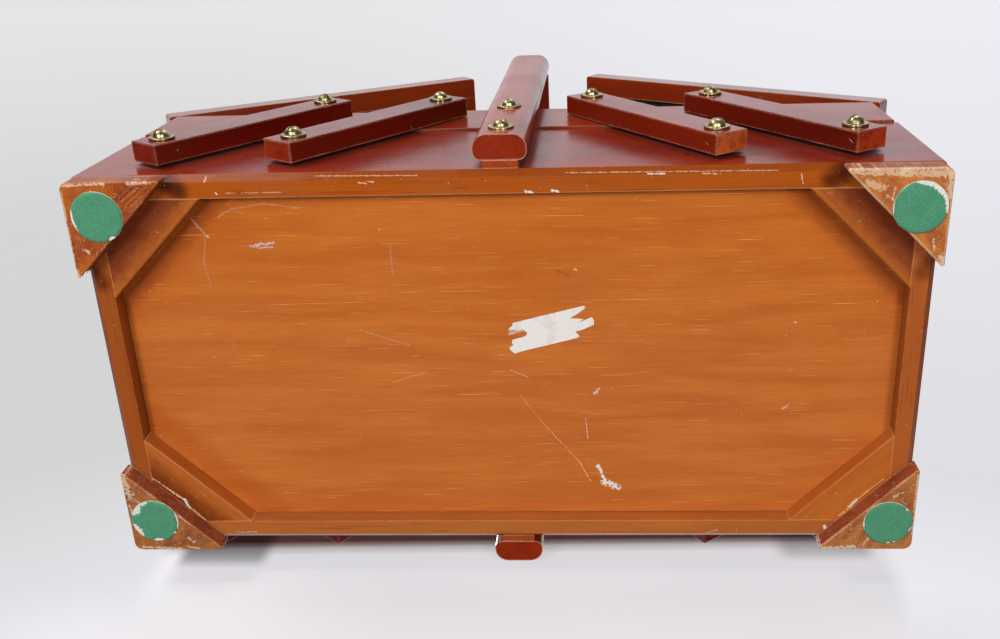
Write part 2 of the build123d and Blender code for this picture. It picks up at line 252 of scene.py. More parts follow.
def buildWorld(look):
    world = bpy.data.worlds.new("paleRoom")
    bpy.context.scene.world = world
    world.use_nodes = True
    tree = world.node_tree
    tree.nodes.clear()
    parts = split(tree, addNode(tree, "ShaderNodeTexCoord").outputs["Generated"])
    path = addNode(tree, "ShaderNodeLightPath").outputs
    pale = mixColour(tree, remap(tree, parts[0], *look["leftToRight"]), ramp(tree, parts[1], look["left"]),
                     ramp(tree, parts[1], look["right"]))
    # Reflections see the pale room above and behind, and dusk below, at the sides and after a second bounce
    below = remap(tree, parts[2], *look["duskBelow"])
    beside = remap(tree, maths(tree, "ABSOLUTE", parts[0]), *look["duskBeside"])
    again = maths(tree, "GREATER_THAN", path["Glossy Depth"], 1.5)
    dim = times(tree, larger(tree, larger(tree, below, beside), again), path["Is Glossy Ray"])
    pale = mixColour(tree, dim, pale, look["dusk"])
    seen = larger(tree, path["Is Camera Ray"], path["Is Glossy Ray"])
    seen = larger(tree, seen, path["Is Transmission Ray"])
    ambient = addNode(tree, "ShaderNodeBackground", {"Color": look["ambient"],
                                                     "Strength": look["ambientStrength"]})
    shown = addNode(tree, "ShaderNodeBackground", {"Color": pale, "Strength": 1.0})
    mixed = addNode(tree, "ShaderNodeMixShader", {0: seen, 1: ambient.outputs[0], 2: shown.outputs[0]})
    addNode(tree, "ShaderNodeOutputWorld", {"Surface": mixed.outputs[0]})


def stageMaterial(name, colour, buildMask, glow=(0, 0, 0, 1), buildShade=None):
    # Seen by the camera from its front only, so that it hides and darkens nothing else
    material = bpy.data.materials.new(name)
    material.use_nodes = True
    tree = material.node_tree
    tree.nodes.clear()
    place = objectPlace(tree)
    path = addNode(tree, "ShaderNodeLightPath").outputs
    front = minus(tree, 1.0, addNode(tree, "ShaderNodeNewGeometry").outputs["Backfacing"])
    mask = times(tree, times(tree, front, path["Is Camera Ray"]), buildMask(tree, place))
    tone = mixColour(tree, remap(tree, cloud(tree, place, 3.0, 3), 0.3, 0.7, 0.0, 0.08), colour, (1, 1, 1, 1))
    if buildShade:
        shade = buildShade(tree, place)
        tone = mixColour(tree, 1.0, tone, shade, "MULTIPLY")
        glow = mixColour(tree, 1.0, glow, shade, "MULTIPLY")
    matt = addNode(tree, "ShaderNodeBsdfDiffuse", {"Color": tone})
    lit = addNode(tree, "ShaderNodeEmission", {"Color": glow, "Strength": 1.0})
    both = addNode(tree, "ShaderNodeAddShader", {0: matt.outputs[0], 1: lit.outputs[0]})
    clear = addNode(tree, "ShaderNodeBsdfTransparent")
    mixed = addNode(tree, "ShaderNodeMixShader", {0: mask, 1: clear.outputs[0], 2: both.outputs[0]})
    addNode(tree, "ShaderNodeOutputMaterial", {"Surface": mixed.outputs[0]})
    return material


def floorMask(tree, place):
    return remap(tree, vectorMaths(tree, "LENGTH", place), *surroundings["floorFade"], 1.0, 0.0)


def tableMask(tree, place):
    # The strip just under the back of the lying box
    parts = split(tree, place)
    across = maths(tree, "ABSOLUTE", parts[0])
    sides = remap(tree, across, *tableLook["sides"], 1.0, 0.0)
    near = remap(tree, parts[2], *tableLook["near"])
    behindBox = remap(tree, across, *tableLook["besideBox"], 1.0, 0.0)
    front = remap(tree, parts[2], *tableLook["front"])
    return times(tree, times(tree, sides, near), larger(tree, behindBox, front))


def tableShade(tree, place):
    # Painted contact shadow behind the box, and softer painted shadows beside the two feet
    parts = split(tree, place)
    deep = minus(tree, parts[2], times(tree, parts[0], tableLook["skew"]))
    contact = ramp(tree, remap(tree, deep, *tableLook["depth"], smooth=False), tableLook["contact"])
    light = 1.0
    for fadeIn, fadeOut, depth, strength in tableLook["patches"]:
        patch = times(tree, remap(tree, parts[0], *fadeIn), remap(tree, parts[0], *fadeOut, 1.0, 0.0))
        patch = times(tree, patch, remap(tree, parts[2], *depth, 0.0, strength))
        light = times(tree, light, minus(tree, 1.0, patch))
    grey = addNode(tree, "ShaderNodeCombineColor", {0: light, 1: light, 2: light}).outputs[0]
    return mixColour(tree, 1.0, contact, grey, "MULTIPLY")


def selectOnly(piece):
    bpy.ops.object.select_all(action="DESELECT")
    piece.select_set(True)
    bpy.context.view_layer.objects.active = piece


def startPiece(name):
    piece = bpy.context.object
    selectOnly(piece)
    piece.name = name
    return piece


def addStagePlane(name, size, place, turn, material):
    bpy.ops.mesh.primitive_plane_add(size=1, location=place, rotation=turn)
    plane = startPiece(name)
    plane.scale = (*size, 1)
    bpy.ops.object.transform_apply(location=True, rotation=True, scale=True)
    plane.data.materials.append(material)


buildWorld(surroundings)
floorMaterial = stageMaterial("paleFloor", surroundings["floor"], floorMask)
tableMaterial = stageMaterial("paleTable", tableLook["colour"], tableMask, tableLook["glow"], tableShade)
addStagePlane("floor", surroundings["floorSize"], (0, 0, 0), (0, 0, 0), floorMaterial)
addStagePlane("tableStrip", tableLook["size"], tableLook["place"], (math.pi / 2, 0, 0), tableMaterial)
print("camera, lamps and pale surroundings placed")


# Effects shared by several finishes

def buildBoardGrain():
    # Long fibres along the vector's X
    tree, given, result = startGroup(
        "boardGrain", {"Vector": None, "Along": 12.0, "Across": 300.0, "Waviness": 0.004, "Seed": 0.0},
        ("Tone", "Fibre", "Pore", "Check", "Height"))
    offset = combined(tree, *(times(tree, given["Seed"], step) for step in (1.7, 0.61, 0.37)))
    moved = vectorMaths(tree, "ADD", given["Vector"], offset)
    bend = minus(tree, cloud(tree, stretched(tree, moved, (7, 26, 26)), 1.0, 2), 0.5)
    bend = times(tree, bend, given["Waviness"])
    parts = split(tree, moved)
    fine = combined(tree, times(tree, parts[0], given["Along"]),
                    times(tree, plus(tree, parts[1], bend), given["Across"]),
                    times(tree, plus(tree, parts[2], bend), given["Across"]))
    fibre = cloud(tree, fine, 1.0, 4, 0.7)
    check = cloud(tree, stretched(tree, fine, (0.9, 1.5, 1.5)), 1.0, 1, 0.4)
    pore = remap(tree, cloud(tree, stretched(tree, fine, (2.6, 3.1, 3.1)), 1.0, 2, 0.5), 0.60, 0.70)
    feed(tree, result, {
        "Tone": cloud(tree, stretched(tree, fine, (0.28, 0.07, 0.07)), 1.0, 3, 0.5, 0.4),
        "Fibre": fibre,
        "Pore": pore,
        "Check": remap(tree, check, 0.70, 0.76),
        "Height": minus(tree, times(tree, fibre, 0.6), times(tree, pore, 0.5)),
    })
    return tree


def buildEdgeWear():
    # 1 along corners within the radius, broken up by grit
    tree, given, result = startGroup(
        "edgeWear", {"Vector": None, "Radius": 0.0015, "Amount": 0.5, "Grit": 900.0, "Seed": 0.0}, ("Mask",))
    rounded = addNode(tree, "ShaderNodeBevel", {"Radius": given["Radius"]}, samples=4).outputs[0]
    flat = addNode(tree, "ShaderNodeNewGeometry").outputs["Normal"]
    bend = minus(tree, 1.0, vectorMaths(tree, "DOT_PRODUCT", rounded, flat))
    near = maths(tree, "MULTIPLY", bend, 5.0, clamp=True)
    shifted = vectorMaths(tree, "ADD", given["Vector"], combined(tree, given["Seed"]))
    uneven = plus(tree, cloud(tree, shifted, 70.0, 2), cloud(tree, shifted, given["Grit"], 3, 0.7))
    total = plus(tree, near, times(tree, uneven, 0.9))
    limit = minus(tree, 2.25, given["Amount"])
    mask = remap(tree, total, limit, plus(tree, limit, 0.16))
    feed(tree, result, {"Mask": times(tree, mask, maths(tree, "GREATER_THAN", near, 0.02))})
    return tree


def buildScuffs():
    # Sparse short nicks and specks
    tree, given, result = startGroup(
        "scuffs", {"Vector": None, "Scale": 60.0, "Amount": 0.5, "Seed": 0.0}, ("Mask", "Haze"))
    shifted = vectorMaths(tree, "ADD", given["Vector"], combined(tree, 0.0, given["Seed"]))
    limit = remap(tree, given["Amount"], 0.0, 1.0, 0.80, 0.66, smooth=False)
    masks = []
    for turn, stretch in ((0.5, (1.0, 12.0, 12.0)), (2.0, (1.4, 16.0, 16.0)), (1.1, (5.0, 5.0, 5.0))):
        turned = addNode(tree, "ShaderNodeVectorRotate", {"Vector": shifted, "Angle": turn},
                         rotation_type="Z_AXIS").outputs[0]
        field = cloud(tree, stretched(tree, turned, stretch), given["Scale"], 2, 0.6)
        masks.append(remap(tree, field, limit, plus(tree, limit, 0.03)))
    feed(tree, result, {"Mask": larger(tree, larger(tree, masks[0], masks[1]), masks[2]),
                        "Haze": cloud(tree, shifted, 18.0, 3, 0.6)})
    return tree


def lineDistance(tree, point, start, end):
    toPoint = vectorMaths(tree, "SUBTRACT", point, start)
    toEnd = vectorMaths(tree, "SUBTRACT", end, start)
    share = maths(tree, "DIVIDE", vectorMaths(tree, "DOT_PRODUCT", toPoint, toEnd),
                  vectorMaths(tree, "DOT_PRODUCT", toEnd, toEnd), clamp=True)
    return vectorMaths(tree, "DISTANCE", toPoint, resized(tree, toEnd, share))


def buildScratchLine():
    # One nick or scratch between two points of the XY plane
    # Before is the mask of the mark drawn before it, which keeps a long row of marks in order
    tree, given, result = startGroup(
        "scratchLine", {"Vector": None, "Jitter": None, "Before": 0.0, "Start": None, "End": None,
                        "Width": 0.0004, "Wobble": 0.0004}, ("Mask",))
    order = combined(tree, times(tree, given["Before"], 1e-7))
    flat = vectorMaths(tree, "ADD", stretched(tree, given["Vector"], (1, 1, 0)), order)
    shaken = vectorMaths(tree, "ADD", flat, resized(tree, given["Jitter"], given["Wobble"]))
    distance = lineDistance(tree, shaken, given["Start"], given["End"])
    breaks = cloud(tree, vectorMaths(tree, "ADD", flat, given["End"]), 700.0, 2)
    width = times(tree, given["Width"], remap(tree, breaks, 0.32, 0.62, 0.1, 1.2))
    feed(tree, result, {"Mask": remap(tree, distance, times(tree, width, 0.45), width, 1.0, 0.0)})
    return tree


def buildSoftLine():
    # Soft band of colour along a line of the XY plane, used for painted shadows and painted bounce light
    tree, given, result = startGroup(
        "softLine", {"Vector": None, "Start": None, "End": None, "Radius": 0.006}, ("Mask",))
    flat = stretched(tree, given["Vector"], (1, 1, 0))
    distance = maths(tree, "DIVIDE", lineDistance(tree, flat, given["Start"], given["End"]), given["Radius"])
    uneven = cloud(tree, given["Vector"], 240.0, 3, 0.6)
    distance = plus(tree, distance, times(tree, minus(tree, uneven, 0.5), 0.5))
    feed(tree, result, {"Mask": remap(tree, distance, 0.15, 1.0, 1.0, 0.0)})
    return tree


boardGrain = buildBoardGrain()
edgeWear = buildEdgeWear()
scuffs = buildScuffs()
scratchLine = buildScratchLine()
softLine = buildSoftLine()


# Wood finishes

woodLook = {
    "light": paint(160, 72, 30),
    "mid": paint(122, 40, 12),
    "dark": paint(74, 16, 5),
    "poreShade": 0.30,
    "streak": 0.35,
    "checks": 0.0,          # short pale splits along the grain
    "checkColour": paint(232, 170, 100),
    "along": 12.0,
    "across": 300.0,
    "wave": 0.004,
    "turn": (0, 0, 0),
    "mirrored": False,
    "seed": 0.0,
    "under": None,          # colour of faces that look down, where it differs
    "underDark": None,      # its darker fibres
    "recess": False,        # the same colour on the inner faces below the bottom panel
    "slopeShade": 0.0,      # painted shade on the rounded edges of the underside
    "recessShade": 0.0,     # the same for the inner faces below the bottom panel
    "slopeColour": paint(70, 10, 0),
    "underMatt": 0.0,       # 1 leaves the underside without varnish gloss
    "crevice": 0.0,         # painted shade in narrow gaps, which also dulls their gloss
    "creviceDepth": 0.007,
    "endTone": None,        # colour of the end grain that looks down
    "front": None,          # tint towards the front
    "frontFade": (0.02, -0.085),
    "wearColour": paint(206, 158, 112),
    "wear": 0.55,
    "wearRadius": 0.0012,
    "scuff": 0.25,
    "scuffScale": 60.0,
    "scuffColour": paint(214, 178, 140),
    "rough": (0.16, 0.34),
    "specular": 0.5,
    "coat": 0.5,
    "coatRough": 0.08,
    "bump": 0.12,
    "bumpDepth": 0.0004,
    "marks": (),            # start, end and width in millimetres, strength, colour
    "grime": (),            # painted shadows and bounce light: the same, with a radius instead of the width
    "markTop": 0.0138,      # marks and painted shade stay below this height
}
# half length, half width and top of the space below the bottom panel
recessReach = (0.1893, 0.0883, 0.0196)


def startMaterial(name):
    material = bpy.data.materials.new(name)
    material.use_nodes = True
    tree = material.node_tree
    tree.nodes.clear()
    shader = addNode(tree, "ShaderNodeBsdfPrincipled")
    addNode(tree, "ShaderNodeOutputMaterial", {"Surface": shader.outputs[0]})
    return material, tree, shader


def grainVector(tree, place, look):
    if look["mirrored"]:
        parts = split(tree, place)
        place = combined(tree, maths(tree, "ABSOLUTE", parts[0]), maths(tree, "ABSOLUTE", parts[1]), parts[2])
    turn = tuple(math.radians(angle) for angle in look["turn"])
    return addNode(tree, "ShaderNodeMapping", {"Vector": place, "Rotation": turn}).outputs[0]


def jitterVector(tree, place):
    field = addNode(tree, "ShaderNodeTexNoise", {"Vector": place, "Scale": 420.0, "Detail": 3.0})
    centred = vectorMaths(tree, "SUBTRACT", field.outputs["Color"], (0.5, 0.5, 0.5))
    return stretched(tree, centred, (1, 1, 0))


def flatPlace(point):
    return (point[0] * mm, point[1] * mm, 0)


def underside(tree, look, tone, fibre, normal, parts):
    # Colour of the faces that look down, and the share of each face that has it
    down = times(tree, split(tree, normal)[2], -1.0)
    colour = mixColour(tree, tone, look["underDark"], look["under"])
    colour = mixColour(tree, remap(tree, fibre, 0.52, 0.30, 0.0, 0.35), colour, look["underDark"])
    # Painted shade: darker on the rounded edges and on the upright inner faces of the recess
    upright = remap(tree, down, 0.5, 0.2)
    slope = times(tree, remap(tree, down, 0.97, 0.80, 0.0, look["slopeShade"]), minus(tree, 1.0, upright))
    slope = plus(tree, slope, times(tree, upright, look["recessShade"]))
    colour = mixColour(tree, slope, colour, look["slopeColour"])
    share = remap(tree, down, 0.3, 0.65)
    if look["recess"]:
        inside = maths(tree, "LESS_THAN", parts[2], recessReach[2])
        for axis in (0, 1):
            off = maths(tree, "ABSOLUTE", parts[axis])
            inside = times(tree, inside, maths(tree, "LESS_THAN", off, recessReach[axis]))
        share = larger(tree, share, inside)
    return colour, share


def woodMaterial(name, **changes):
    look = {**woodLook, **changes}
    material, tree, shader = startMaterial(name)
    coordinates = addNode(tree, "ShaderNodeTexCoord").outputs
    place, normal = coordinates["Object"], coordinates["Normal"]
    parts = split(tree, place)
    vector = grainVector(tree, place, look)
    grain = useGroup(tree, boardGrain, {"Vector": vector, "Along": look["along"], "Across": look["across"],
                                        "Waviness": look["wave"], "Seed": look["seed"]})
    wear = useGroup(tree, edgeWear, {"Vector": place, "Radius": look["wearRadius"], "Amount": look["wear"],
                                     "Seed": look["seed"]})
    nick = useGroup(tree, scuffs, {"Vector": vector, "Scale": look["scuffScale"], "Amount": look["scuff"],
                                   "Seed": look["seed"]})
    dulled = []

    tone = remap(tree, grain["Tone"], 0.28, 0.72)
    colour = mixColour(tree, tone, look["mid"], look["light"])
    streaks = remap(tree, grain["Fibre"], 0.55, 0.30, 0.0, look["streak"])
    colour = mixColour(tree, streaks, colour, look["dark"])
    if look["under"]:
        underTone, share = underside(tree, look, tone, grain["Fibre"], normal, parts)
        colour = mixColour(tree, share, colour, underTone)
        if look["underMatt"]:
            dulled.append(times(tree, share, look["underMatt"]))
    if look["endTone"]:
        tilt = math.radians(look["turn"][1])
        ends = vectorMaths(tree, "DOT_PRODUCT", normal, (-math.cos(tilt), 0, -math.sin(tilt)))
        patchy = remap(tree, cloud(tree, place, 170.0, 3, 0.6), 0.35, 0.62, 0.45, 1.0)
        colour = mixColour(tree, times(tree, remap(tree, ends, 0.8, 0.95), patchy), colour, look["endTone"])
    if look["front"]:
        colour = mixColour(tree, remap(tree, parts[1], *look["frontFade"]), colour, look["front"], "MULTIPLY")
    if look["marks"] or look["grime"]:
        low = maths(tree, "LESS_THAN", parts[2], look["markTop"])
    # Painted shadows and painted bounce light, as soft bands
    for start, end, radius, strength, paintedTone in look["grime"]:
        band = useGroup(tree, softLine, {"Vector": place, "Start": flatPlace(start), "End": flatPlace(end),
                                         "Radius": radius * mm})
        colour = mixColour(tree, times(tree, times(tree, band["Mask"], strength), low), colour, paintedTone)
    if look["checks"]:
        colour = mixColour(tree, times(tree, grain["Check"], look["checks"]), colour, look["checkColour"])
    colour = mixColour(tree, times(tree, grain["Pore"], look["poreShade"]), colour, look["dark"])
    # Painted shade: darker and duller where the surface is closed in
    if look["crevice"]:
        bare = addNode(tree, "ShaderNodeAmbientOcclusion", {"Distance": look["creviceDepth"]}, samples=6)
        hidden = remap(tree, bare.outputs["AO"], 0.62, 0.30, 0.0, look["crevice"])
        colour = mixColour(tree, hidden, colour, look["dark"])
        dulled.append(hidden)
    colour = mixColour(tree, times(tree, wear["Mask"], 0.85), colour, look["wearColour"])
    colour = mixColour(tree, times(tree, nick["Mask"], 0.75), colour, look["scuffColour"])
    lost = larger(tree, wear["Mask"], nick["Mask"])
    if look["marks"]:
        jitter = jitterVector(tree, place)
    before = 0.0
    for start, end, width, strength, markColour in look["marks"]:
        line = useGroup(tree, scratchLine, {"Vector": place, "Jitter": jitter, "Before": before,
                                            "Start": flatPlace(start), "End": flatPlace(end),
                                            "Width": width * mm, "Wobble": width * 1.3 * mm})
        before = times(tree, line["Mask"], low)
        colour = mixColour(tree, times(tree, before, strength), colour, markColour)
        lost = larger(tree, lost, before)

    rough = remap(tree, nick["Haze"], 0.3, 0.7, *look["rough"])
    rough = plus(tree, rough, times(tree, lost, 0.35), clamp=True)
    if look["crevice"]:
        rough = plus(tree, rough, times(tree, hidden, 0.5), clamp=True)
    coat = times(tree, minus(tree, 1.0, lost), look["coat"])
    for share in dulled:
        coat = times(tree, coat, minus(tree, 1.0, share))
    height = minus(tree, grain["Height"], times(tree, lost, 0.9))
    feed(tree, shader.inputs, {
        "Base Color": colour,
        "Roughness": rough,
        "Normal": bumped(tree, look["bump"], look["bumpDepth"], height),
        "Coat Weight": coat,
        "Specular IOR Level": look["specular"],
        "Coat Roughness": look["coatRough"],
    })
    return material


def dress(material, *names):
    for name in names:
        for slot in nodes[name].material_slots:
            slot.material = material


pale = paint(226, 196, 166)
chalk = paint(236, 226, 214)
mauve = paint(206, 170, 160)
dust = paint(208, 192, 196)
glueYellow = paint(230, 196, 118)
# dark marks on the front left foot, and painted shade on the left inner arms
darkMarkAndShade = paint(60, 20, 8)
amberLine = paint(238, 168, 104)
panelMarks = [
    ((4, 19.5), (13, 33), 0.3, 0.50, amberLine),
    ((13, 33), (21, 43.5), 0.3, 0.60, amberLine),
    ((21, 43.5), (33, 58.5), 0.35, 0.70, amberLine),
    ((33, 58.5), (38.5, 70), 0.45, 0.80, amberLine),
    ((42.5, 60.5), (46, 70.5), 1.3, 0.95, chalk),
    ((45.5, 70), (52, 73.5), 2.4, 0.95, chalk),
    ((44, 16), (41, 19.5), 1, 0.75, dust),
    ((36.5, 33), (37.5, 44.5), 0.4, 0.6, dust),
    ((-122.5, -61.5), (-111.5, -63), 1, 0.75, dust),
    ((-119, -60.5), (-112, -61), 0.6, 0.60, dust),
    ((-60.5, 12), (-43.5, 6.5), 0.3, 0.5, amberLine),
    ((-0.5, 5.5), (8, 9.5), 0.35, 0.5, pale),
    ((32.5, -47.5), (33.5, -47), 0.6, 0.8, pale),
    ((135, 28.5), (138, 26), 0.6, 0.7, dust),
    ((-59.5, -68.5), (-59, -68.5), 0.6, 0.8, pale),
    ((138.5, -19), (139, -18.5), 0.5, 0.8, pale),
    ((-149, -75.5), (-143.5, -67.5), 0.6, 0.4, mauve),
    ((-142.5, -66.5), (-142, -66), 0.7, 0.8, chalk),
    ((-143.5, -67.5), (-146.5, -54), 0.5, 0.22, mauve),
    ((-146.5, -54), (-145, -41), 0.5, 0.25, mauve),
    ((-137.5, -75.5), (-129.5, -80), 0.6, 0.25, mauve),
    ((-129.5, -80), (-113.5, -82.5), 0.7, 0.22, mauve),
    ((-113.5, -82.5), (-98, -80.5), 0.6, 0.25, mauve),
    ((-55, -61), (-55, -46), 0.5, 0.25, mauve),
    ((-74, -17), (-49.5, -8.5), 0.6, 0.25, mauve),
    ((24.5, -46.5), (30, -44), 1, 0.30, paint(120, 50, 20)),
]
frontRimMarks = [
    ((-65, -94.5), (-61.5, -94), 0.5, 0.7, pale),
    ((-61, -95), (-58, -94.5), 0.5, 0.7, pale),
    ((-136.5, -96), (-136, -98), 0.5, 0.54, pale),
    ((-132, -90.5), (-131.5, -90), 0.6, 0.8, chalk),
    ((-127, -90.5), (-122.5, -90.5), 0.4, 0.41, pale),
    ((-120, -90.5), (-112, -90.5), 0.4, 0.34, pale),
    ((-110, -90.5), (-101, -90.5), 0.4, 0.41, pale),
    ((11.5, -89), (14.5, -88.5), 1.1, 0.9, chalk),
    ((23.5, -89), (26, -88.5), 0.8, 0.9, chalk),
    ((67, -96), (74.5, -96), 0.4, 0.7, chalk),
    ((91, -96), (98, -95.5), 0.4, 0.6, pale),
    ((135.5, -95), (136.5, -90.5), 0.4, 0.6, pale),
    ((-85, -97.5), (-38, -97), 0.3, 0.35, pale),
    ((30, -97), (125, -96.5), 0.3, 0.35, pale),
]
glueMarks = [
    ((-191, 60), (-187, 63), 0.5, 0.6, glueYellow),
    ((-187, 63), (-180.5, 69), 0.6, 0.7, glueYellow),
    ((-180.5, 69), (-173, 75.5), 0.8, 0.8, glueYellow),
    ((-174.5, 74), (-172, 79), 1.2, 0.8, chalk),
    ((-172, 79), (-164.5, 87), 0.6, 0.7, glueYellow),
    ((165, 85.5), (167.5, 83), 0.6, 0.7, glueYellow),
    ((167.5, 83), (172.5, 77), 0.9, 0.8, glueYellow),
    ((172.5, 77), (179, 70), 0.6, 0.7, glueYellow),
    ((179, 70), (186, 63.5), 0.4, 0.5, glueYellow),
    ((170, 79.5), (173.5, 76), 1.3, 0.6, chalk),
]
backRimMarks = [
    ((158, 91.5), (159, 93), 1.2, 0.9, chalk),
    ((98, 96), (104, 93.5), 0.6, 0.5, mauve),
    ((-148, 95), (-138, 94.5), 0.4, 0.5, pale),
]
# Painted shadows of the front feet on the rim beside their tips, and their colour
shadowBrown = paint(62, 10, 2)
footShade = [
    ((-155, -96), (-149.5, -92), 7.8, 0.85, shadowBrown),
    ((-197.5, -53), (-194, -47), 7, 0.65, shadowBrown),
    ((155, -96), (149.5, -92), 7.8, 0.80, shadowBrown),
    ((197.5, -53), (194, -47), 7, 0.50, shadowBrown),
]
# Colour of the painted shadows on the gussets and the panel
stainAndShade = paint(91, 4, 0)
# Painted shadows of the front feet across the front gussets, and a darker band along the back left foot
gussetShade = [
    ((-150.5, -96), (-196, -50.5), 15, 0.80, stainAndShade),
    ((150.5, -96), (196, -50.5), 15, 0.80, stainAndShade),
    ((-155, 97), (-198.5, 53.5), 16, 0.75, stainAndShade),
]
amber = paint(172, 74, 0)
# Painted shadows of the front gussets on the panel, and painted warm bounce light beside the gussets
panelShade = [
    ((-132.5, -90), (-191.5, -31), 8.5, 0.60, stainAndShade),
    ((132.5, -90), (191.5, -31), 8.5, 0.55, stainAndShade),
    ((-129, -88), (-187, -29), 12.5, 0.25, amber),
    ((129, -88), (187, -29), 12.5, 0.20, amber),
    ((-130, 86), (-185, 31), 12, 0.35, amber),
]

lacquer = {
    "light": paint(142, 42, 16), "mid": paint(114, 26, 8), "dark": paint(70, 10, 4),
    "under": paint(188, 98, 34), "underDark": paint(158, 76, 24),
    "streak": 0.25, "rough": (0.20, 0.32), "coat": 0.12, "coatRough": 0.15, "specular": 0.40,
}
baseRim = {**lacquer, "recess": True, "wear": 0.7, "wearRadius": 0.0009, "scuff": 0.45, "scuffScale": 110.0,
           "grime": footShade, "slopeShade": 0.42, "underMatt": 1.0, "crevice": 0.9, "specular": 0.50}
longWall = {"turn": (0, 0, 0), "wear": 0.7, "recessShade": 0.08}
endWall = {"turn": (0, 0, 90), "wear": 0.35, "recessShade": 0.30}
baseWalls = {
    "front": {**longWall, "seed": 1.3, "marks": frontRimMarks, "under": paint(177, 84, 12),
              "underDark": paint(149, 66, 6)},
    "back": {**longWall, "seed": 4.1, "marks": backRimMarks, "under": paint(206, 120, 50),
             "underDark": paint(178, 96, 38)},
    "left": {**endWall, "seed": 2.2, "under": paint(166, 82, 26), "underDark": paint(136, 60, 16)},
    "right": {**endWall, "seed": 2.9, "under": paint(192, 103, 42), "underDark": paint(160, 77, 28)},
}
for side, changes in baseWalls.items():
    dress(woodMaterial(side + "BaseLacquer", **{**baseRim, **changes}), f"base_{side}_wall")

dress(woodMaterial(
    "bottomPlywood", light=paint(204, 114, 46), mid=paint(190, 100, 38), dark=paint(166, 82, 28),
    along=46.0, across=1500.0, wave=0.0012, seed=7.0, poreShade=0.25, streak=0.32, wear=0.1, scuff=0.40,
    scuffScale=90.0, scuffColour=paint(228, 172, 118), rough=(0.36, 0.52), specular=0.25, coat=0.08,
    coatRough=0.3, bump=0.15, checks=0.6, marks=panelMarks, grime=panelShade, front=(0.98, 0.94, 0.52, 1),
    markTop=0.0215), "base_bottom_panel")
dress(woodMaterial(
    "gussetPine", light=paint(196, 109, 37), mid=paint(180, 93, 29), dark=paint(140, 62, 15), mirrored=True,
    turn=(0, 0, 45), along=30.0, across=800.0, seed=3.3, streak=0.35, poreShade=0.2, wear=0.6,
    wearColour=paint(222, 160, 96), scuff=0.45, scuffScale=110.0, rough=(0.34, 0.48), specular=0.3, coat=0.1,
    coatRough=0.25, marks=glueMarks, grime=gussetShade), "corner_gussets")

bone = paint(228, 202, 168)
footLook = {
    "light": paint(164, 78, 44), "mid": paint(138, 56, 30), "dark": paint(90, 32, 12),
    "under": paint(206, 122, 48), "underDark": paint(164, 82, 28), "underMatt": 0.5,
    "across": 1300.0, "along": 700.0, "streak": 0.9, "poreShade": 0.8, "checks": 0.6,
    "checkColour": paint(232, 188, 126), "wearColour": bone, "wearRadius": 0.0016, "scuff": 0.8,
    "scuffScale": 150.0, "scuffColour": paint(226, 190, 146),
    "rough": (0.35, 0.55), "specular": 0.3, "coat": 0.1, "coatRough": 0.3, "bump": 0.4,
}
feet = {
    "front_left_foot": {"turn": (0, 0, 50), "seed": 5.0, "wear": 0.85, "wearRadius": 0.0012, "along": 260.0,
                        "under": paint(188, 96, 26), "underDark": paint(148, 62, 14), "marks": [
        ((-198, -98), (-179, -98.5), 0.8, 0.70, bone),
        ((-168, -98.5), (-158, -98.5), 1, 0.65, bone),
        ((-199.5, -95), (-200, -60), 0.5, 0.60, bone),
        ((-199.5, -56), (-199, -53), 1.8, 0.70, bone),
        ((-194.5, -67.5), (-192, -65.5), 0.9, 0.70, bone),
        ((-175, -91), (-169, -97), 0.6, 0.55, darkMarkAndShade),
        ((-172.5, -91), (-165.5, -97), 0.6, 0.60, darkMarkAndShade),
        ((-171.5, -89), (-162, -96.5), 0.7, 0.55, darkMarkAndShade),
        ((-169.5, -88), (-159.5, -95.5), 0.6, 0.50, darkMarkAndShade)]},
    "front_right_foot": {"turn": (0, 0, 35), "seed": 6.1, "wear": 1.2, "checks": 0.8, "marks": [
        ((158, -98), (178, -97), 2.2, 0.60, bone),
        ((178, -97.5), (199, -96.5), 2.6, 0.60, bone),
        ((163, -93), (170, -90.5), 2.4, 0.50, bone),
        ((198, -96), (199, -86), 2, 0.60, bone),
        ((198.5, -58), (199, -53.5), 2, 0.65, bone),
        ((171.5, -87), (176.5, -83.5), 0.6, 0.65, bone),
        ((175, -90.5), (174, -85), 0.6, 0.55, bone),
        ((194, -66), (195, -61), 0.9, 0.60, bone)]},
    "back_left_foot": {"turn": (0, 0, -40), "seed": 7.7, "wear": 0.9, "wearRadius": 0.0010,
                       "under": paint(182, 110, 56), "underDark": paint(140, 74, 34), "marks": [
        ((-199.5, 55), (-197, 68), 2.6, 0.65, bone),
        ((-195, 69), (-190, 73.5), 0.7, 0.55, bone),
        ((-198.5, 72), (-197.5, 80), 1.2, 0.50, bone),
        ((-196, 97.5), (-176, 98.5), 1, 0.70, bone),
        ((-172, 97), (-166, 98.5), 0.7, 0.70, bone),
        ((-171, 91.5), (-168.5, 94.5), 1, 0.65, bone)]},
    "back_right_foot": {"turn": (0, 0, -35), "seed": 8.4, "wear": 0.9, "wearRadius": 0.0010,
                        "under": paint(194, 122, 64), "underDark": paint(156, 84, 42), "marks": [
        ((155, 98.5), (172, 98), 2, 0.70, bone),
        ((199.5, 56), (200, 90), 0.9, 0.60, bone),
        ((189, 68), (193, 65.5), 0.8, 0.65, bone),
        ((192.5, 70), (195, 72.5), 0.7, 0.50, bone),
        ((179, 91.5), (176, 96), 0.8, 0.50, bone)]},
}
for footName, changes in feet.items():
    dress(woodMaterial(footName + "Wood", **{**footLook, **changes}), footName)

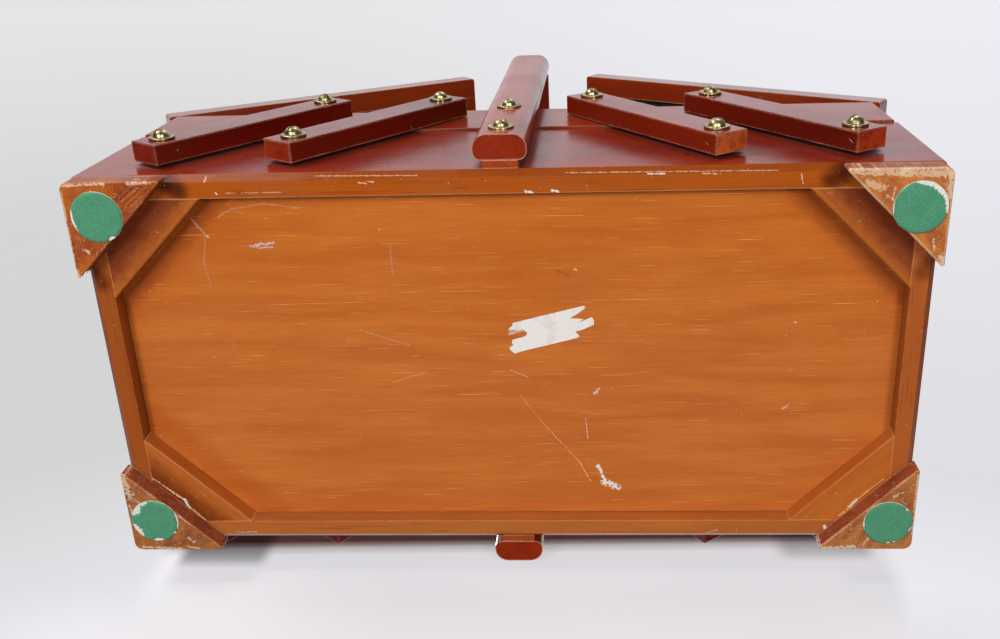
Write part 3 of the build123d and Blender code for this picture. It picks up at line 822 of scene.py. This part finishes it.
deepRed = {
    "light": paint(140, 38, 12), "mid": paint(120, 24, 6), "dark": paint(70, 8, 2), "streak": 0.22,
    "rough": (0.18, 0.30), "coat": 0.15, "coatRough": 0.12, "specular": 0.42,
    "wearColour": paint(222, 178, 150),
}
postLook = {**deepRed, "light": paint(158, 50, 14), "mid": paint(136, 34, 6), "turn": (0, 90, 0),
            "seed": 9.0, "wear": 0.7}
spacerLook = {**deepRed, "light": paint(176, 76, 26), "mid": paint(152, 56, 16), "turn": (0, 90, 0),
              "seed": 9.6}
dress(woodMaterial("postWood", **postLook), "front_handle_post", "back_handle_post")
dress(woodMaterial("spacerWood", **spacerLook), "post_spacers")
dress(woodMaterial("crossbarWood", **deepRed, turn=(0, 0, 90), seed=10.0), "handle_crossbar")

# Edges rubbed pale, strong and wide enough to also paint the pale highlight along the arms' edges
armLook = {**deepRed, "wear": 0.9, "wearRadius": 0.0015, "markTop": 1.0}
armSides = {"right": {"turn": 125.4, "seed": 11}, "left": {"turn": 54.6, "seed": 16}}
# painted shade: depth is the share of each tone that is left on the sides that look down, and the left arms,
# ends too, are painted darker than the right
armTones = {
    "left_outer": {"light": paint(124, 28, 10), "mid": paint(98, 14, 4), "depth": 0.70,
                   "end": paint(124, 26, 8)},
    "left_inner": {"light": paint(128, 30, 10), "mid": paint(102, 16, 4), "depth": 0.65,
                   "end": paint(136, 40, 10)},
    "right_outer": {"light": paint(134, 34, 10), "mid": paint(108, 20, 5), "depth": 0.52,
                    "end": paint(166, 52, 18)},
    "right_inner": {"light": paint(140, 38, 10), "mid": paint(112, 22, 5), "depth": 0.60,
                    "end": paint(180, 84, 40)},
}
# Painted shade at the inner end of the left inner arms, beside the handle post
armShadow = {"left_inner": [((-42, -112), (-23, -112), 20, 0.60, darkMarkAndShade)]}
for side, swing in armSides.items():
    for index, face in enumerate(("front", "back")):
        for step, line in enumerate(("outer", "inner")):
            tones = armTones[f"{side}_{line}"]
            name = f"{side}_{face}_{line}_arm"
            dress(woodMaterial(name + "Wood", **{
                **armLook, "turn": (0, swing["turn"], 0), "seed": swing["seed"] + index * 2.3 + step * 1.1,
                "light": tones["light"], "under": shaded(tones["light"], tones["depth"]),
                "mid": tones["mid"], "underDark": shaded(tones["mid"], tones["depth"]),
                "endTone": tones["end"] if face == "front" else None,
                "grime": armShadow.get(f"{side}_{line}", ())}), name)

trayLook = {**lacquer, "light": paint(150, 48, 20), "mid": paint(122, 32, 12), "under": paint(156, 66, 22),
            "underDark": paint(126, 44, 12), "underMatt": 0.5, "crevice": 0.8}
trayPanelLook = {"light": paint(190, 112, 56), "mid": paint(166, 88, 40), "dark": paint(124, 58, 24),
                 "along": 46.0, "across": 1500.0, "rough": (0.35, 0.5), "specular": 0.3, "coat": 0.15,
                 "coatRough": 0.25}
dividerLook = {"light": paint(180, 100, 48), "mid": paint(150, 74, 30), "dark": paint(110, 46, 18),
               "turn": (0, 0, 90), "coat": 0.2, "coatRough": 0.2}
lidLook = {**lacquer, "under": paint(156, 60, 18), "underDark": paint(118, 36, 10), "coat": 0.6,
           "specular": 0.5}
lidOpen = 32.2      # degrees by which the lids stand open at rest
for side, shift, lean in (("left", 3.0, lidOpen), ("right", 0.0, -lidOpen)):
    dress(woodMaterial(side + "TrayLong", **trayLook, seed=21 + shift),
          f"{side}_tray_front_wall", f"{side}_tray_back_wall")
    dress(woodMaterial(side + "TrayEnds", **trayLook, seed=23 + shift, turn=(0, 0, 90)),
          f"{side}_tray_inner_wall", f"{side}_tray_outer_wall")
    dress(woodMaterial(side + "TrayPanel", **trayPanelLook, seed=25 + shift), f"{side}_tray_bottom_panel")
    dress(woodMaterial(side + "TrayDivider", **dividerLook, seed=27 + shift), f"{side}_tray_divider")
    dress(woodMaterial(side + "LidPanel", **lidLook, turn=(0, lean, 0), seed=29 + shift), f"{side}_lid_panel")
    dress(woodMaterial(side + "LidRim", **lidLook, turn=(0, lean, 0), seed=31 + shift, wear=0.6),
          f"{side}_lid_rim")
print("wood finishes done")


# Brass

brassLook = {
    "bright": paint(192, 180, 134), "dull": paint(124, 112, 76), "grime": paint(54, 46, 28),
    "rough": (0.24, 0.50), "bump": 0.12, "bumpDepth": 0.0001, "edge": 0.0008,
}


def brassMaterial(name, look):
    material, tree, shader = startMaterial(name)
    place = objectPlace(tree)
    tarnish = remap(tree, cloud(tree, place, 260.0, 4, 0.65), 0.35, 0.68)
    edge = useGroup(tree, edgeWear, {"Vector": place, "Radius": look["edge"], "Amount": 0.9, "Grit": 1500.0})
    pits = remap(tree, cloud(tree, place, 1400.0, 3, 0.7), 0.62, 0.70)
    colour = mixColour(tree, tarnish, look["bright"], look["dull"])
    colour = mixColour(tree, times(tree, pits, 0.7), colour, look["grime"])
    colour = mixColour(tree, times(tree, edge["Mask"], 0.6), colour, look["bright"])
    feed(tree, shader.inputs, {
        "Base Color": colour,
        "Roughness": remap(tree, tarnish, 0.0, 1.0, *look["rough"], smooth=False),
        "Normal": bumped(tree, look["bump"], look["bumpDepth"], cloud(tree, place, 1800.0, 3)),
        "Metallic": 1.0,
    })
    return material


brass = brassMaterial("agedBrass", brassLook)
dress(brass, "base_pivot_collars", "base_pivot_screws", "handle_screws", "base_washers")
trayBrass = ("tray_pivot_screws", "tray_washers", "tray_hinges", "tray_hinge_screws", "lid_hinges",
             "lid_hinge_screws")
for side in ("left", "right"):
    dress(brass, *(f"{side}_{part}" for part in trayBrass))
print("brass done")


# Felt, glue and lining cloth

def feltMaterial(name, light, dark, fuzz, bump=0.5, scale=1500.0):
    material, tree, shader = startMaterial(name)
    place = objectPlace(tree)
    fibres = cloud(tree, place, scale, 4, 0.75, 0.6)
    patches = cloud(tree, place, 130.0, 3, 0.6)
    strands = cloud(tree, stretched(tree, place, (0.35, 1.0, 1.0)), scale * 1.4, 3, 0.7, 1.2)
    colour = mixColour(tree, remap(tree, fibres, 0.32, 0.68), dark, light)
    colour = mixColour(tree, remap(tree, patches, 0.35, 0.70, 0.0, 0.35), colour, dark)
    colour = mixColour(tree, remap(tree, strands, 0.60, 0.72, 0.0, 0.5), colour, fuzz)
    feed(tree, shader.inputs, {
        "Base Color": colour,
        "Roughness": remap(tree, fibres, 0.3, 0.7, 0.82, 0.98),
        "Normal": bumped(tree, bump, 0.0003, plus(tree, fibres, strands)),
        "Specular IOR Level": 0.2,
        "Sheen Weight": 0.15,
        "Sheen Roughness": 0.5,
    })
    return material


def glueMaterial(name, light, dark, specks):
    material, tree, shader = startMaterial(name)
    place = objectPlace(tree)
    grit = cloud(tree, place, 1300.0, 4, 0.7)
    colour = mixColour(tree, remap(tree, grit, 0.35, 0.65), dark, light)
    colour = mixColour(tree, remap(tree, cloud(tree, place, 2100.0, 2), 0.63, 0.70, 0.0, 0.7), colour, specks)
    feed(tree, shader.inputs, {
        "Base Color": colour,
        "Roughness": remap(tree, grit, 0.3, 0.7, 0.6, 0.85),
        "Normal": bumped(tree, 0.4, 0.0002, grit),
    })
    return material


padLook = {
    "radius": 0.0122,
    "spokes": 180,
    "rings": 12,
    "glueSpokes": 96,
    "glueRings": 4,
    "ringReach": 0.96,      # how far in the last ring lies, as a share of the radius
    "feltLow": 0.00002,
    "feltHigh": 0.00082,
    "feltThick": 0.00078,
    "feltInset": 0.00012,
    "fray": 0.00016,        # how deep single fibres are missing from the rim
    "nap": 0.00006,
    "thinEdge": 0.92,       # where the trodden rim begins, as a share of the radius
    "thinning": 0.00028,
    "glueLow": 0.00084,
    "glueThick": 0.00015,
    "glueInset": 0.00010,
    "glueWave": 0.00012,
    # torn places: middle angle, half width in degrees, depth in millimetres
    "front_left": [(172, 30, 1.3), (185, 18, 0.8), (62, 9, 1.7)],
    "front_right": [(-48, 58, 2.2), (-10, 26, 1.5), (181, 15, 0.5)],
    "back_left": [(-142, 20, 3.2), (-112, 12, 1.6), (150, 24, 3.0), (88, 15, 2.0), (0, 26, 0.7),
                  (36, 5, 1.2)],
    "back_right": [(180, 20, 0.5), (-43, 4, 1.0), (18, 10, 0.8), (84, 5, 1.2), (70, 4, 1.0)],
}


def wobble(x, y, z):
    return noise.noise(Vector((x, y, z)))


def ringedDisc(name, spokes, rings):
    # Flat unit disc with even rings, from a circle that is inset again and again
    bpy.ops.object.select_all(action="DESELECT")
    bpy.ops.mesh.primitive_circle_add(vertices=spokes, radius=1, fill_type="NGON")
    piece = startPiece(name)
    bpy.ops.object.mode_set(mode="EDIT")
    bpy.ops.mesh.select_mode(type="FACE")
    bpy.ops.mesh.select_all(action="SELECT")
    for ring in range(rings):
        bpy.ops.mesh.inset(thickness=padLook["ringReach"] / rings)
    bpy.ops.mesh.poke()
    bpy.ops.object.mode_set(mode="OBJECT")
    return piece


def applyModifier(piece, kind, **settings):
    selectOnly(piece)
    modifier = piece.modifiers.new(kind.lower(), kind)
    for name, value in settings.items():
        setattr(modifier, name, value)
    bpy.ops.object.modifier_apply(modifier=modifier.name)


def faceOutwards(piece, material, smooth=True):
    selectOnly(piece)
    bpy.ops.object.mode_set(mode="EDIT")
    bpy.ops.mesh.select_all(action="SELECT")
    bpy.ops.mesh.normals_make_consistent(inside=False)
    bpy.ops.object.mode_set(mode="OBJECT")
    piece.data.materials.append(material)
    for face in piece.data.polygons:
        face.use_smooth = smooth


def bite(angle, tears, seed):
    # How much felt is missing from the rim at this angle, in metres
    depth = 0.0
    for middle, half, most in tears:
        off = abs((angle - middle + 180) % 360 - 180)
        if off < half:
            share = 1 - (off / half) ** 2
            ragged = wobble(angle * 0.16, seed, 0) * 0.45 + wobble(angle * 0.55, seed, 5) * 0.30
            depth = max(depth, most * mm * max(0.0, share ** 0.5 + ragged * min(1.0, share * 3)))
    return depth


def feltPad(corner, seed, felt, glue):
    low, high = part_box(f"{corner}_foot_pad")
    middle = (low + high) / 2

    disc = ringedDisc(f"{corner}_felt", padLook["spokes"], padLook["rings"])
    for vertex in disc.data.vertices:
        x, y, _ = vertex.co
        reach = math.hypot(x, y)
        angle = math.degrees(math.atan2(y, x))
        fray = min(0.0, wobble(x * 30, y * 30, seed) * padLook["fray"])
        rim = reach * (padLook["radius"] - padLook["feltInset"] + fray - bite(angle, padLook[corner], seed))
        worn = max(0.0, (reach - padLook["thinEdge"]) / (1 - padLook["thinEdge"])) ** 2
        nap = abs(wobble(x * 9, y * 9, seed + 3)) * padLook["nap"] * (1 - 0.35 * worn)
        vertex.co = (rim * math.cos(math.radians(angle)), rim * math.sin(math.radians(angle)),
                     padLook["thinning"] * worn + nap)
    applyModifier(disc, "SOLIDIFY", thickness=padLook["feltThick"], offset=1.0)
    top = max(vertex.co.z for vertex in disc.data.vertices)
    for vertex in disc.data.vertices:
        vertex.co.z = padLook["feltLow"] + vertex.co.z * (padLook["feltHigh"] - padLook["feltLow"]) / top
        vertex.co.x += middle.x
        vertex.co.y += middle.y
    faceOutwards(disc, felt)
    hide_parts(f"{corner}_foot_pad")
    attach(disc, "base")

    under = ringedDisc(f"{corner}_glue", padLook["glueSpokes"], padLook["glueRings"])
    for vertex in under.data.vertices:
        x, y, _ = vertex.co
        edge = padLook["radius"] - padLook["glueInset"] + wobble(x * 5, y * 5, seed + 9) * padLook["glueWave"]
        vertex.co = (x * edge + middle.x, y * edge + middle.y, padLook["glueLow"])
    applyModifier(under, "SOLIDIFY", thickness=padLook["glueThick"], offset=1.0)
    faceOutwards(under, glue, smooth=False)
    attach(under, "base")


greenFelt = feltMaterial("greenFelt", paint(92, 162, 124), paint(62, 130, 96), paint(150, 196, 168))
paperGlue = glueMaterial("paperGlue", paint(236, 236, 228), paint(206, 212, 200), paint(96, 156, 128))
for index, corner in enumerate(("front_left", "front_right", "back_left", "back_right")):
    feltPad(corner, 2.0 + index * 3.1, greenFelt, paperGlue)
print("felt pads done")

liningLook = {
    # the cloth as it lies with the lid shut: from the middle of the box outwards, half its depth, its top
    "inner": 0.0198, "outer": 0.1895, "reach": 0.0880, "top": 0.1464,
    "hinge": (0.1984, 0.13875),
    "light": paint(46, 56, 57), "dark": paint(24, 30, 33), "fuzz": paint(76, 86, 86),
    "cuts": 56, "thick": 0.0007, "pucker": 0.00022,
}


def lidLining(side, cloth):
    sign = 1 if side == "right" else -1
    width, depth = liningLook["outer"] - liningLook["inner"], 2 * liningLook["reach"]
    middle = (liningLook["outer"] + liningLook["inner"]) / 2
    bpy.ops.object.select_all(action="DESELECT")
    cuts = liningLook["cuts"]
    bpy.ops.mesh.primitive_grid_add(x_subdivisions=cuts, y_subdivisions=cuts, size=1)
    piece = startPiece(f"{side}_lining_felt")
    for vertex in piece.data.vertices:
        u, v = vertex.co.x, vertex.co.y
        edge = min(0.5 - abs(u), 0.5 - abs(v)) * 2
        wave = wobble(u * 7, v * 5, sign * 4) * 0.6 + wobble(u * 22, v * 19, sign * 9) * 0.4
        sag = (wave + 0.6) * liningLook["pucker"] * min(1.0, edge * 14)
        vertex.co = (middle + u * width, v * depth, liningLook["top"] - sag)
    applyModifier(piece, "SOLIDIFY", thickness=liningLook["thick"], offset=-1.0)
    hingeX, hingeZ = liningLook["hinge"]
    pivot = Vector((hingeX, 0, hingeZ))
    turn = Matrix.Rotation(math.radians(lidOpen), 3, "Y")
    for vertex in piece.data.vertices:
        vertex.co = pivot + turn @ (vertex.co - pivot)
        vertex.co.x *= sign
    faceOutwards(piece, cloth)
    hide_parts(f"{side}_lid_lining")
    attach(piece, f"{side}_lid")


liningCloth = feltMaterial("liningCloth", liningLook["light"], liningLook["dark"], liningLook["fuzz"],
                           bump=0.4, scale=1100.0)
for side in ("left", "right"):
    lidLining(side, liningCloth)
print("lid linings done")


# Torn paper remnant under the box

labelLook = {"top": 0.01948, "thick": 0.00014, "curl": 0.00012}
# Corners in millimetres: long straight edges, both ends torn into flaps
labelOutline = [
    (2, -20), (36.5, -28.5), (37.5, -28), (37, -27), (33, -24), (29.5, -22), (33, -22), (36.5, -21.5),
    (33, -19.5), (37, -21), (40.5, -22.5), (41.5, -21), (41.5, -18.5), (36, -16), (32.5, -15),
    (33, -14), (34.5, -12.5), (33, -11.5), (7, -5), (2, -3.5), (0.5, -5), (-0.5, -6.5), (1.5, -8),
    (1, -9.5), (1.5, -11), (7, -12.5), (8.5, -13.5), (8.5, -15), (7, -15.5), (3.5, -14.5),
    (-0.5, -13.5), (0, -15.5), (-0.5, -16.5), (1.5, -18.5),
]


def paperMaterial():
    material, tree, shader = startMaterial("tornPaper")
    place = objectPlace(tree)
    fibre = cloud(tree, place, 1500.0, 4, 0.7)
    stainAndShade = cloud(tree, place, 90.0, 3, 0.6)
    specks = remap(tree, cloud(tree, place, 900.0, 2), 0.70, 0.74, 0.0, 0.6)
    bare = useGroup(tree, scratchLine, {
        "Vector": place, "Jitter": jitterVector(tree, place), "Start": flatPlace((-0.5, -14.8)),
        "End": flatPlace((6.8, -14.9)), "Width": 0.0019, "Wobble": 0.0016})
    colour = mixColour(tree, remap(tree, fibre, 0.3, 0.7), paint(226, 218, 212), paint(243, 239, 235))
    colour = mixColour(tree, remap(tree, stainAndShade, 0.45, 0.75, 0.0, 0.5), colour, paint(206, 192, 182))
    colour = mixColour(tree, specks, colour, paint(150, 122, 104))
    colour = mixColour(tree, times(tree, bare["Mask"], 0.75), colour, paint(188, 120, 84))
    feed(tree, shader.inputs, {
        "Base Color": colour,
        "Roughness": remap(tree, fibre, 0.3, 0.7, 0.55, 0.75),
        "Normal": bumped(tree, 0.3, 0.0002, fibre),
        "Specular IOR Level": 0.3,
    })
    return material


def paperRemnant():
    bpy.ops.object.select_all(action="DESELECT")
    bpy.ops.mesh.primitive_circle_add(vertices=len(labelOutline), radius=1, fill_type="NGON")
    piece = startPiece("torn_paper_remnant")
    for vertex, (x, y) in zip(piece.data.vertices, reversed(labelOutline)):
        lift = abs(wobble(x * 0.35, y * 0.35, 2)) * labelLook["curl"]
        vertex.co = (x * mm, y * mm, labelLook["top"] - lift)
    applyModifier(piece, "TRIANGULATE")
    applyModifier(piece, "SOLIDIFY", thickness=labelLook["thick"], offset=-1.0)
    faceOutwards(piece, paperMaterial(), smooth=False)
    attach(piece, "base")


paperRemnant()
print("paper remnant done")

bpy.context.scene.view_settings.view_transform = "Standard"
print("all pieces placed")
